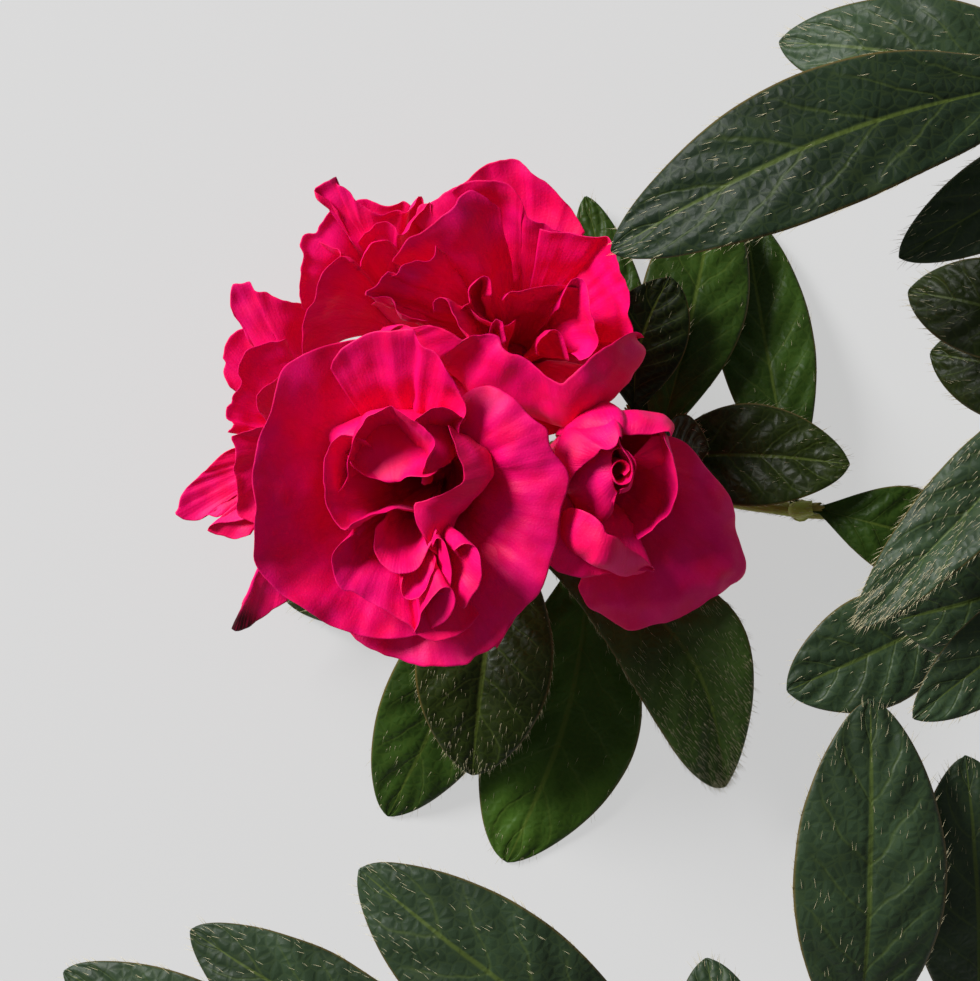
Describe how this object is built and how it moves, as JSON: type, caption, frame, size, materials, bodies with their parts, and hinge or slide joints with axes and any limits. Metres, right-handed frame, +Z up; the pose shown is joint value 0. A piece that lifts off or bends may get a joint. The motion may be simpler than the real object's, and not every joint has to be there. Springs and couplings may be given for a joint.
{
  "type": "cut flowering azalea branch",
  "caption": "Cut azalea branch lying on its side, with a cluster of double crimson blooms and whorls of dark green leaves.",
  "frame": {"origin": "centre of the lying branch's box, on the floor it lies on", "axes": "+Z up, away from the floor; +X along the branch towards the cut end of its main stem; +Y away from the front shoots"},
  "size_m": [0.272, 0.2335, 0.1079],
  "materials": {
    "petals": "soft satin petal",
    "leaves": "leathery, slightly glossy leaf",
    "pedicels": "downy green stalk",
    "green_stem": "young green-brown shoot",
    "bark": "rough brown bark"
  },
  "bodies": {
    "root": {"main_stem": "bark", "flower_shoot": "green_stem", "upper_shoot": "green_stem", "right_shoot": "green_stem", "front_shoot": "green_stem", "front_shoot_tip": "green_stem", "bloom_front": "petals", "bloom_upper": "petals", "bloom_side": "petals", "bloom_upper_left": "petals", "bloom_left": "petals", "pedicel_front": "pedicels", "pedicel_upper": "pedicels", "pedicel_side": "pedicels", "pedicel_upper_left": "pedicels", "pedicel_left": "pedicels", "leaves_low": "leaves", "leaves_middle": "leaves", "leaves_upper": "leaves", "leaves_node": "leaves", "leaves_top": "leaves", "leaves_side": "leaves", "leaves_near": "leaves", "leaves_low_side": "leaves", "leaves_front": "leaves", "leaves_front_left": "leaves"}
  },
  "joints": []
}
